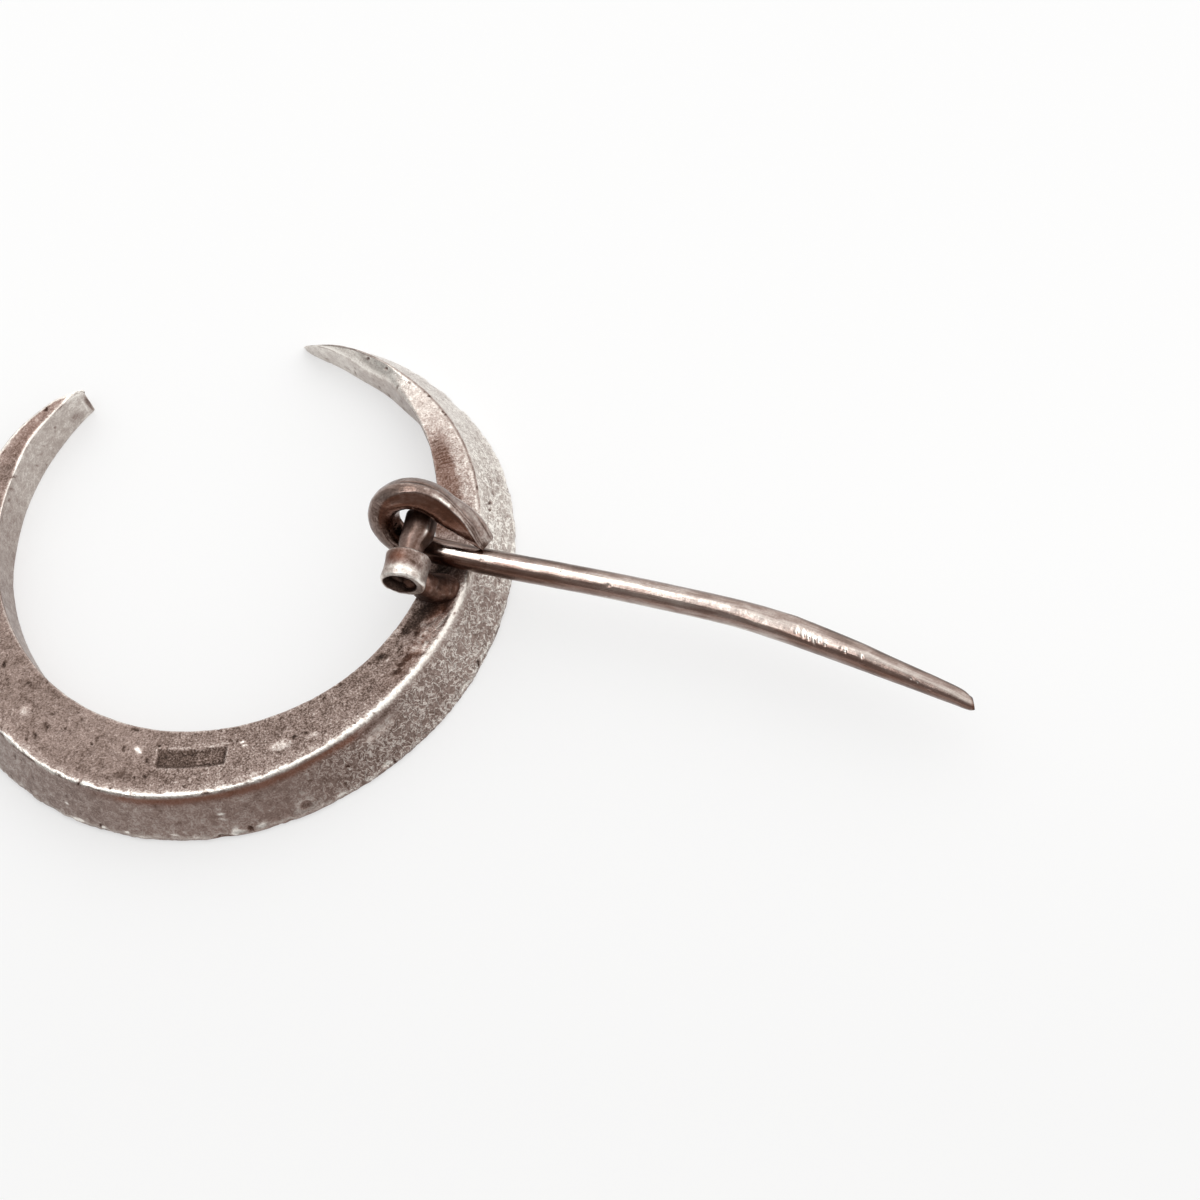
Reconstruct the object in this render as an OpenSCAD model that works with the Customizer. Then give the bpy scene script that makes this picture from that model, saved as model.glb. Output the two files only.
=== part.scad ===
// A crescent moon brooch of tarnished silver, lying face down with its pin swung open.
// The flat front lies on z = 0, and the worked back, with the hinge and the catch, faces +Z.
// The origin is on the front, at the middle of the band where it is widest, and the horns point to +Y.

/* [Crescent] */
// Radius of the outer edge
outer_r = 12.9; // [12.5:0.1:14]
// Radius of the round hollow
hollow_r = 10; // [9.6:0.1:10.2]
// Distance of the hollow's centre from the outer edge's centre
hollow_shift = 1.55; // [1.3:0.05:1.8]
// Height of the wall round the hollow
wall_h = 2.05; // [1.6:0.05:2.1]
// Height of the upright strip at the outer edge
rim_h = 0.25; // [0.1:0.05:0.4]
// Slope of the outer facet, in degrees
outer_slope = 62; // [55:1:68]
// Slope of the broad back facet, in degrees
back_slope = 4.5; // [2:0.5:5]
// Angle from the widest part to the blunt horn's cut end
blunt_end = 138.5; // [130:0.5:145]
// Angle from the widest part to the round horn's end
round_end = 165.5; // [155:0.5:168]

/* [Hinge] */
// Height of the hinge's axis above the front
hinge_h = 4.35; // [4.3:0.05:4.6]
// Turn of the hinge's axis away from +Y, in degrees
hinge_turn = 6; // [4:0.5:8]
// Outer diameter of the hinge's barrel
barrel_d = 1.95; // [1.9:0.05:2.1]
// Length of the hinge's barrel
barrel_l = 1.3; // [1.1:0.05:1.4]
// Diameter of the rivet
rivet_d = 1; // [0.9:0.05:1.1]

/* [Pin] */
// Diameter of the pin's wire
wire_d = 1.12; // [1:0.02:1.16]
// Radius of the eye, to the middle of the wire
eye_r = 1.5; // [1.45:0.05:1.55]
// Lean of the eye away from square to the rivet, in degrees
eye_lean = 19; // [15:1:20]

/* [Catch] */
// Radius inside the catch's hook
hook_r = 0.62; // [0.58:0.02:0.66]
// Thickness of the catch's strip
hook_t = 0.4; // [0.35:0.05:0.45]
// Width of the catch's strip, along the shut pin
hook_w = 1.5; // [1.2:0.1:1.6]

/* [Hidden] */
$fn = 64;

// Gap round a part that is held in or turns on another
gap = 0.02;
// Tall enough to stand above every facet of the band, and how far a cut runs past what it cuts
tall = 4;
past = 1;
// How far a soldered piece sinks into the metal under it
sink = 0.2;

// Distance of the outer edge's centre from the origin
band_mid = (outer_r + hollow_r - hollow_shift) / 2;

// The circle that draws the horns in a little towards their ends
horn_drop = 1.6;
horn_r = outer_r + 1.05;

// Where the hinge's axis leaves the barrel towards the eye, from the outer edge's centre
hinge_x = 9.57;
hinge_y = -1.58;
bore_r = rivet_d / 2 + gap;
cup_r = 0.7;
cup_depth = 0.45;
rivet_out = 2.2;
rivet_chamfer = 0.18;

// The solder under the barrel, as corners [across the hinge's axis, up], and how far it stays inside the ends
foot_z = wall_h - sink - hinge_h;
solder = [[-0.5, -0.6], [0.8, -0.3], [1.6, foot_z], [-0.1, foot_z]];
solder_inset = 0.1;

// The eye lies round the rivet, this far along the hinge's axis
eye_at = 1.75;
eye_from = 30;
eye_to = 270;
eye_step = 20;

// Each row is x, y, z and radius of the pin's wire, as [across the hinge's axis, along it, up, radius].
// The wire starts at its flattened end beside the stem, goes round the eye and ends at the tip.
tail_rows = [
    [2.78, 1.55, -0.92, 0.28],
    [2.5, 1.64, -0.5, 0.44],
    [1.8, 1.88, 0.38, 0.54]
];
stem_z = -eye_r * cos(eye_lean);
stem_rows = [
    [0.9, 0.92, stem_z, wire_d / 2],
    [3.5, 0.75, stem_z, wire_d / 2],
    [8.35, 0.25, stem_z, wire_d / 2],
    [13.15, -0.4, stem_z, wire_d / 2],
    [16.55, -1.15, stem_z, wire_d / 2],
    [18.6, -1.8, stem_z, wire_d / 2],
    [20, -2.27, stem_z, 0.48],
    [22.5, -3.1, stem_z, 0.41],
    [23.3, -3.44, stem_z, 0.33],
    [23.6, -3.57, stem_z, 0.15]
];
wire_sides = 12;
wire_steps = 2;

// Where the pin lies when it is shut, over the catch, from the outer edge's centre
catch_x = -10.8;
catch_y = -0.45;
catch_z = 4.04;
catch_turn = 12;
hook_end = 120;
hook_reach = 3 * hook_r;
lip_l = 1.75;
foot_w = 1.5;

// Direction in the plane of the brooch from the outer edge's centre, at an angle from the widest part
function heading(angle) = [sin(angle), -cos(angle)];

// Places its children on the hinge's axis, with +Y along that axis
module at_hinge() {
    translate([hinge_x, hinge_y, hinge_h])
        rotate([0, 0, -hinge_turn])
            children();
}

// A row of the wire where it goes round the eye
function eye_row(angle) = [eye_r * cos(angle), eye_at + eye_r * sin(angle) * sin(eye_lean),
    eye_r * sin(angle) * cos(eye_lean), wire_d / 2];

// A smooth curve from b to c, which a and d lead into
function curve(a, b, c, d, t) = b + (c - a) * t / 2 + (2 * a - 5 * b + 4 * c - d) * t * t / 2
    + (3 * b - a - 3 * c + d) * t * t * t / 2;

function smooth(rows, steps) = concat(
    [for (i = [0 : len(rows) - 2], k = [0 : steps - 1])
        curve(rows[max(i - 1, 0)], rows[i], rows[i + 1], rows[min(i + 2, len(rows) - 1)], k / steps)],
    [rows[len(rows) - 1]]);

function spot(row) = [row[0], row[1], row[2]];

function unit(v) = v / norm(v);

// The ring of points round one row, square to the wire's run
function ring(row, run) = let (across = unit(cross(run, [0, 1, 0])), up = cross(across, run))
    [for (k = [0 : wire_sides - 1])
        spot(row) + row[3] * (cos(360 * k / wire_sides) * across + sin(360 * k / wire_sides) * up)];

// A round wire through rows of points
module wire(rows) {
    last = len(rows) - 1;
    points = [for (i = [0 : last])
        each ring(rows[i], unit(spot(rows[min(i + 1, last)]) - spot(rows[max(i - 1, 0)])))];
    sides = [for (i = [0 : last - 1], k = [0 : wire_sides - 1])
        let (a = i * wire_sides + k, b = i * wire_sides + (k + 1) % wire_sides)
            each [[a, b, b + wire_sides], [a, b + wire_sides, a + wire_sides]]];
    ends = [[for (k = [1 : wire_sides]) wire_sides - k], [for (k = [0 : wire_sides - 1]) last * wire_sides + k]];
    polyhedron(points = points, faces = concat(sides, ends));
}

// A disc with an upright rim and a steep facet above it
module faceted_disc(radius) {
    top_r = radius - (tall - rim_h) / tan(outer_slope);
    rotate_extrude()
        polygon([[0, 0], [radius, 0], [radius, rim_h], [top_r, tall], [0, tall]]);
}

// All below the broad back facet, which rises outwards from the hollow
module below_back_facet() {
    far = 2 * outer_r;
    rise = tan(back_slope);
    translate([0, hollow_shift, 0])
        rotate_extrude()
            polygon([[0, -past], [far, -past], [far, wall_h + (far - hollow_r) * rise],
                [0, wall_h - hollow_r * rise]]);
}

// The whole ring that the crescent is cut from
module band_ring() {
    difference() {
        intersection() {
            faceted_disc(outer_r);
            translate([0, -horn_drop, 0])
                faceted_disc(horn_r);
            below_back_facet();
        }
        translate([0, hollow_shift, -past])
            cylinder(h = tall + 2 * past, r = hollow_r);
    }
}

// The wedge that parts the two horns
module horn_gap() {
    reach = 2 * outer_r;
    ends = [round_end, (round_end + 360 - blunt_end) / 2, 360 - blunt_end];
    translate([0, 0, -past])
        linear_extrude(height = tall + 2 * past)
            polygon(concat([[0, 0]], [for (angle = ends) reach * heading(angle)]));
}

// The inner and the outer edge of the band where the round horn ends, and the radius that rounds it.
// The radius is a little over half the width, so that the end meets the edges at an angle.
horn_in = -hollow_shift * cos(round_end) + sqrt(pow(hollow_r, 2) - pow(hollow_shift * sin(round_end), 2));
horn_out = horn_drop * cos(round_end) + sqrt(pow(horn_r, 2) - pow(horn_drop * sin(round_end), 2));
horn_end_r = 0.54 * (horn_out - horn_in);

module band() {
    difference() {
        band_ring();
        horn_gap();
    }
    intersection() {
        band_ring();
        translate(concat((horn_in + horn_out) / 2 * heading(round_end), [-past]))
            cylinder(h = tall + 2 * past, r = horn_end_r);
    }
}

// The short tube that carries the rivet, on its lump of solder
module hinge_barrel() {
    difference() {
        union() {
            rotate([90, 0, 0])
                cylinder(h = barrel_l, r = barrel_d / 2);
            translate([0, -solder_inset, 0])
                rotate([90, 0, 0])
                    linear_extrude(height = barrel_l - 2 * solder_inset)
                        polygon(solder);
        }
        translate([0, past, 0])
            rotate([90, 0, 0])
                cylinder(h = barrel_l + 2 * past, r = bore_r);
        translate([0, cup_depth - barrel_l, 0])
            rotate([90, 0, 0])
                cylinder(h = cup_depth + past, r = cup_r);
    }
}

// The hook that holds the shut pin, seen along the pin
module hook_outline() {
    difference() {
        circle(r = hook_r + hook_t);
        circle(r = hook_r);
        polygon([[0, 0], hook_reach * [cos(hook_end), sin(hook_end)], [-hook_reach, hook_r],
            [-hook_reach, -hook_reach], [0, -hook_reach]]);
    }
    translate([-lip_l, -hook_r - hook_t])
        square([lip_l, hook_t]);
    translate([-foot_w / 2, wall_h - sink - catch_z])
        square([foot_w, catch_z - wall_h + sink - hook_r - hook_t / 2]);
}

module pin_catch() {
    translate([catch_x, catch_y, catch_z])
        rotate([90, 0, 90 + catch_turn])
            translate([0, 0, -hook_w / 2])
                linear_extrude(height = hook_w)
                    hook_outline();
}

module crescent() {
    color("rosybrown")
        translate([0, band_mid, 0]) {
            band();
            at_hinge()
                hinge_barrel();
            pin_catch();
        }
}

module hinge_rivet() {
    color("dimgray")
        translate([0, band_mid, 0])
            at_hinge()
                translate([0, rivet_out, 0])
                    rotate([90, 0, 0]) {
                        cylinder(h = rivet_chamfer, r1 = rivet_d / 2 - rivet_chamfer, r2 = rivet_d / 2);
                        translate([0, 0, rivet_chamfer])
                            cylinder(h = rivet_out + barrel_l - cup_depth - rivet_chamfer, r = rivet_d / 2);
                    }
}

module pin() {
    eye_rows = [for (angle = [eye_from : eye_step : eye_to]) eye_row(angle)];
    color("silver")
        translate([0, band_mid, 0])
            at_hinge()
                wire(smooth(concat(tail_rows, eye_rows, stem_rows), wire_steps));
}

crescent();
hinge_rivet();
pin();
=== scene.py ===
"""A crescent moon brooch of tarnished silver, lying face down on a pale floor with its pin swung open."""
from math import cos, pi, radians, sin

import bmesh
import bpy
import numpy as np
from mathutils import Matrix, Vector, noise


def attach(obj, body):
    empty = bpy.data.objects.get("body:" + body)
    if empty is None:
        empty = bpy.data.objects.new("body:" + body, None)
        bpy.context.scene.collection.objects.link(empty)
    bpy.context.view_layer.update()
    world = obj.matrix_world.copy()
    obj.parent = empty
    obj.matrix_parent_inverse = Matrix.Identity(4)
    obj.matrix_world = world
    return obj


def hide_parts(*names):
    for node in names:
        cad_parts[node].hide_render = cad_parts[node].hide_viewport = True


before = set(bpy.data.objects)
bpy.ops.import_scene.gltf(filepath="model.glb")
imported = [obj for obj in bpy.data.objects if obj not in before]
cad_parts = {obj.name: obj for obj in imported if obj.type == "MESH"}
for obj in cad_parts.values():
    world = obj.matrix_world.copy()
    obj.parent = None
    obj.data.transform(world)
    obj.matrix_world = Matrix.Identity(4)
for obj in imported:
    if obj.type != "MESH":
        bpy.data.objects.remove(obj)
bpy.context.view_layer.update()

# Lengths are in millimetres, in the part's own frame, and MM takes them to metres.
MM = 0.001
ORIGIN = np.array([0, 10.675, 0])  # the middle of the round outer edge

CAMERA_AT = (33.33, -35.32, 85.54)
CAMERA_TURN = (27.872, 8.654, 4.309)
CAMERA_LENS = 69
CAMERA_SENSOR = 36

# Angles round the crescent are in degrees, from its widest part towards +X for the round horn.
BLUNT_END, ROUND_END = -139.0, 170.0
NOSE_FROM = 155
HORN_R = 12.0
WALL_TOP = 2.06
RIM_TOP, RIM_LEAN = 0.24, 0.02
MOST_WORN = 0.45  # of an edge, by either rounding
LAID_R = 11.3  # where a degree of the laid-out skin is true

HINGE_AT = np.array([0.00957, 0.009095, 0.00435]) / MM
HINGE_TURN = radians(-6)
BARREL_R, BARREL_CUP_R, BARREL_BORE_R = 0.955, 0.68, 0.52
BARREL_L, BARREL_CUP = 1.3, 0.45
BARREL_EDGE, BORE_EDGE = 0.1, 0.06
RIVET_R, RIVET_OUT = 0.5, 2.2
HEAD_R, HEAD_AT, HEAD_SHIFT = 0.68, 1.9, 0.15
EYE_R, EYE_AT, EYE_LEAN = 1.5, 1.75, radians(19)

CATCH_AT = np.array([-10.8, 10.225, 4.04])
CATCH_TURN = radians(12)
HOOK_R, HOOK_T, HOOK_W, LIP_L = 0.82, 0.4, 1.5, 1.75
HOOK_SHARE, HOOK_EDGE = 0.985, 0.1

BRIGHTEST = 1.1  # the highest tone


def waves(phi, mean, *terms):
    """A length that varies slowly round the crescent, with a cosine and a sine term for 1, 2 and 3 waves."""
    return mean + sum(c * np.cos(k * phi) + s * np.sin(k * phi) for k, (c, s) in enumerate(terms, 1))


def rough(points, size, seed, octaves=3):
    """Seeded noise of about -1 to 1 at each point, with lumps of the given size."""
    shift = Vector((seed * 7.31, seed * 3.17, seed * 5.73))
    values = [noise.fractal(Vector(p) / size + shift, 1.0, 2.0, octaves) for p in points.reshape(-1, 3)]
    return np.array(values).reshape(points.shape[:-1])


def rise(x, start, end):
    """From 0 at the start to 1 at the end, also where the end is the lower of the two."""
    t = np.clip((x - start) / (end - start), 0, 1)
    return t * t * (3 - 2 * t)


def hump(x, middle, reach):
    return np.exp(-((x - middle) / reach) ** 2)


def local(x, humps=(), steps=()):
    """Humps of height, middle and reach, and steps of height, start and end, all added up."""
    return (sum(height * hump(x, middle, reach) for height, middle, reach in humps)
        + sum(height * rise(x, start, end) for height, start, end in steps))


def new_object(name, data):
    thing = bpy.data.objects.new(name, data)
    bpy.context.collection.objects.link(thing)
    return thing


def new_piece(name, bm):
    mesh = bpy.data.meshes.new(name)
    bm.to_mesh(mesh)
    bm.free()
    return new_object(name, mesh)


def points_of(piece):
    co = np.zeros(len(piece.data.vertices) * 3)
    piece.data.vertices.foreach_get("co", co)
    return co.reshape(-1, 3)


def store(piece, name, values):
    """Keeps a number or a vector for each vertex, which a material reads by name."""
    values = np.asarray(values, np.float32)
    kind, key = ("FLOAT_VECTOR", "vector") if values.ndim == 2 else ("FLOAT", "value")
    piece.data.attributes.new(name, kind, "POINT").data.foreach_set(key, values.ravel())


def finished(piece, points, tone, red, **fields):
    """Moves a piece's vertices to points in mm, keeps their fields on it, closes it and turns its faces outwards."""
    mesh = piece.data
    mesh.vertices.foreach_set("co", (points * MM).astype(np.float32).ravel())
    for name, values in dict(fields, tone=np.clip(tone, 0, BRIGHTEST), red=np.clip(red, 0, 1)).items():
        store(piece, name, values)
    bm = bmesh.new()
    bm.from_mesh(mesh)
    bmesh.ops.remove_doubles(bm, verts=bm.verts, dist=1e-7)
    bmesh.ops.holes_fill(bm, edges=[e for e in bm.edges if e.is_boundary], sides=0)
    bmesh.ops.recalc_face_normals(bm, faces=bm.faces)
    bm.to_mesh(mesh)
    bm.free()
    mesh.polygons.foreach_set("use_smooth", [True] * len(mesh.polygons))
    mesh.update()
    return piece


def bar(name, grid, tone, red, **fields):
    """A closed bar through a grid of points, rings x sides, rolled up from a flat sheet with a UV map."""
    rings, sides = grid.shape[:2]
    bm = bmesh.new()
    bm.loops.layers.uv.new("around_and_along")
    bmesh.ops.create_grid(bm, x_segments=sides, y_segments=rings - 1, size=0.5, calc_uvs=True)
    piece = new_piece(name, bm)
    share = points_of(piece) + 0.5
    at = np.rint(share[:, 1] * (rings - 1)).astype(int), np.rint(share[:, 0] * sides).astype(int) % sides
    return finished(piece, grid[at], tone[at], red[at], **{name: field[at] for name, field in fields.items()})


def rounded_section(corners, worn, edge_steps, arc_steps):
    """Points round a closed section with worn corners, for all rings at once.

    corners is rings x corners x 2, worn is how far each corner's rounding reaches, and the steps are per corner.
    The seam is halfway along the edge that leads into the first corner.
    """
    count = corners.shape[1]
    starts, ends = [], []
    for k in range(count):
        before, here, after = corners[:, k - 1], corners[:, k], corners[:, (k + 1) % count]
        back, on = before - here, after - here
        lb, lo = np.linalg.norm(back, axis=1), np.linalg.norm(on, axis=1)
        reach = np.minimum(worn[:, k], MOST_WORN * np.minimum(lb, lo))
        starts.append(here + back * (reach / lb)[:, None])
        ends.append(here + on * (reach / lo)[:, None])
    seam = (ends[-1] + starts[0]) / 2
    half = edge_steps[0] // 2
    rows = [seam + (starts[0] - seam) * (i / half) for i in range(half)]
    for k in range(count):
        for t in np.arange(arc_steps[k]) / arc_steps[k]:
            rows.append((1 - t) ** 2 * starts[k] + 2 * t * (1 - t) * corners[:, k] + t ** 2 * ends[k])
        if k + 1 < count:
            n = edge_steps[k + 1]
            rows += [ends[k] + (starts[k + 1] - ends[k]) * (i / n) for i in range(n)]
    rows += [ends[-1] + (seam - ends[-1]) * (i / half) for i in range(half)]
    return np.stack(rows, axis=1)


def grid_normals(grid):
    """Unit normals of a grid of rings, by central differences."""
    along = np.gradient(grid, axis=0)
    around = (np.roll(grid, -1, axis=1) - np.roll(grid, 1, axis=1)) / 2
    normal = np.cross(around, along)
    return normal / np.maximum(np.linalg.norm(normal, axis=2, keepdims=True), 1e-9)


def outward_normals(grid, centres):
    """The grid's unit normals, turned away from the centres of its rings."""
    normal = grid_normals(grid)
    return normal if np.einsum("ijk,ijk->ij", normal, grid - centres).mean() > 0 else -normal


# How many steps the skin takes along each edge of the section and round each of its worn corners.
EDGE_STEPS = (10, 14, 30, 26, 3)
ARC_STEPS = (4, 5, 8, 4, 4)
BODY_RINGS, NOSE_RINGS = 820, 34
EDGE_RINGS = (0, 0.01, 0.03, 0.06)  # from the cut end, in mm
EDGE_GAP = 0.2

# The outline, as radius or height: slow waves round the crescent, with humps and steps for what is local.
OUTER_WAVES = (12.7, (0, 0), (-0.288, -0.045), (0.124, 0.004))
OUTER = [(0.1, -124, 8), (-0.14, -95, 18), (0.08, 60, 16)], [(-0.15, -132, -139), (0.09, -60, -25), (-0.09, 112, 128)]
INNER_WAVES = (9.972, (-1.616, 0), (0.11, 0.179), (-0.014, -0.068))
FOOT = [(0.15, 132.5, 4.5), (-0.12, 154, 7)], [(0.15, -125, -140), (-0.12, -85, -105)]
TOP = [(0.1, -121, 5), (0.13, 143, 3), (-0.1, 110, 9), (-0.13, 98, 7), (-0.08, 150, 7)], [(-0.1, -128, -138)]
TOP_HEIGHT = [(-0.72, 151, 10)]
RIDGE_WAVES = (11.624, (-0.066, 0), (-0.133, -0.115), (0.118, -0.073))
RIDGE = [(0.17, -124, 9), (0.12, -117, 7)], [(-0.34, -132, -139)]
RIDGE_HEIGHT = (2.189, (0.123, 0), (-0.004, 0))

# The round horn's point: where it narrows from, how far its top falls over, its radius and its least size.
NOSE_NARROWS, NOSE_FALL, NOSE_R = 162.5, 4.0, 12.05
LEAST_WIDE, LEAST_HIGH = 0.03, 0.06
# The cut end is worn over END_WORN mm, inwards and down, and its very edge over END_EDGE mm by a share of its size.
END_WORN, END_WORN_IN, END_WORN_DOWN = 0.4, 0.13, 0.06
END_EDGE, END_EDGE_IN = 0.1, 0.09

# How far the rounding of each corner reaches and how unevenly, and how much further on the round horn's wall top.
CORNERS_WORN = [(0.1, 0), (0.1, 0.03), (0.17, 0.06), (0.1, 0.03), (0.08, 0)]
WALL_WORN = [(0.3, 122, 148)]
SKIN_IN = 0.022  # how far the mean of the rough skin lies below the section
# The rings that close the cut end, by their share of its size, with their tones.
CAP_SHARES, CAP_TONES, CAP_SUNK = (0.06, 0.3, 0.6, 0.88), (0.1, 0.1, 0.14, 0.5), 0.05


def crescent_angles():
    """Angles of the rings, closer together at the cut end's edge and towards the round horn's point."""
    edge = BLUNT_END + np.degrees(np.array(EDGE_RINGS) / HORN_R)
    body = np.linspace(edge[-1] + EDGE_GAP, NOSE_FROM, BODY_RINGS)
    share = np.linspace(0, 1, NOSE_RINGS + 1)[1:]
    return np.concatenate([edge, body, NOSE_FROM + (ROUND_END - NOSE_FROM) * (1 - (1 - share) ** 2)])


def crescent_corners(deg):
    """The five corners of the section, as radius and height: front, wall top, ridge, rim top and rim foot."""
    phi = np.radians(deg)
    outer, inner = waves(phi, *OUTER_WAVES) + local(deg, *OUTER), waves(phi, *INNER_WAVES)
    ridge = waves(phi, *RIDGE_WAVES) + local(deg, *RIDGE), waves(phi, *RIDGE_HEIGHT)
    lines = [(inner + local(deg, *FOOT), 0), (inner + local(deg, *TOP), WALL_TOP + local(deg, TOP_HEIGHT)), ridge,
        (outer, RIM_TOP), (outer - RIM_LEAN, 0)]
    corners = np.stack([np.stack([r, z + 0 * phi], axis=1) for r, z in lines], axis=1)

    # The round horn narrows to a point like the nose of an ellipse, and its top falls towards it.
    t = np.clip((deg - NOSE_NARROWS) / (ROUND_END - NOSE_NARROWS), 0, 1)
    narrow = np.maximum(np.sqrt(1 - t ** 2), LEAST_WIDE)
    left = np.clip(np.radians(ROUND_END - deg) * HORN_R / NOSE_FALL, 0, 1)
    low = np.maximum((1 - (1 - left) ** 2) ** 0.6, LEAST_HIGH)
    corners[..., 0] = NOSE_R + (corners[..., 0] - NOSE_R) * narrow[:, None]
    corners[..., 1] *= low[:, None]

    # The cut end's edge is worn round, and its outer corner most.
    from_end = np.radians(deg - BLUNT_END) * HORN_R
    worn_off = np.clip(1 - from_end / END_WORN, 0, 1) ** 2
    corners[:, 2:, 0] -= END_WORN_IN * worn_off[:, None]
    corners[:, 1:4, 1] *= 1 - END_WORN_DOWN * worn_off[:, None]
    near = np.clip(1 - from_end / END_EDGE, 0, 1)
    middle = corners.mean(axis=1, keepdims=True)
    corners = middle + (corners - middle) * (1 - END_EDGE_IN * (1 - np.sqrt(1 - near ** 2)))[:, None, None]
    return corners, narrow


def shape_places(deg, section):
    """Each point's angle, distance outwards from the ridge and radius, and that distance of the wall's top and rim."""
    steps = np.linalg.norm(np.diff(section, axis=1), axis=2)
    across = np.concatenate([np.zeros((len(deg), 1)), np.cumsum(steps, axis=1)], axis=1)
    wall_at, ridge_at, rim_at = (EDGE_STEPS[0] // 2 + sum(EDGE_STEPS[1:k + 1]) + sum(ARC_STEPS[:k])
        + ARC_STEPS[k] // 2 for k in (1, 2, 3))
    across = across - across[:, ridge_at][:, None]
    return {"deg": deg[:, None] + 0 * across, "across": across, "radius": section[..., 0],
        "wall": across[:, wall_at][:, None], "rim": across[:, rim_at][:, None]}


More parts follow.
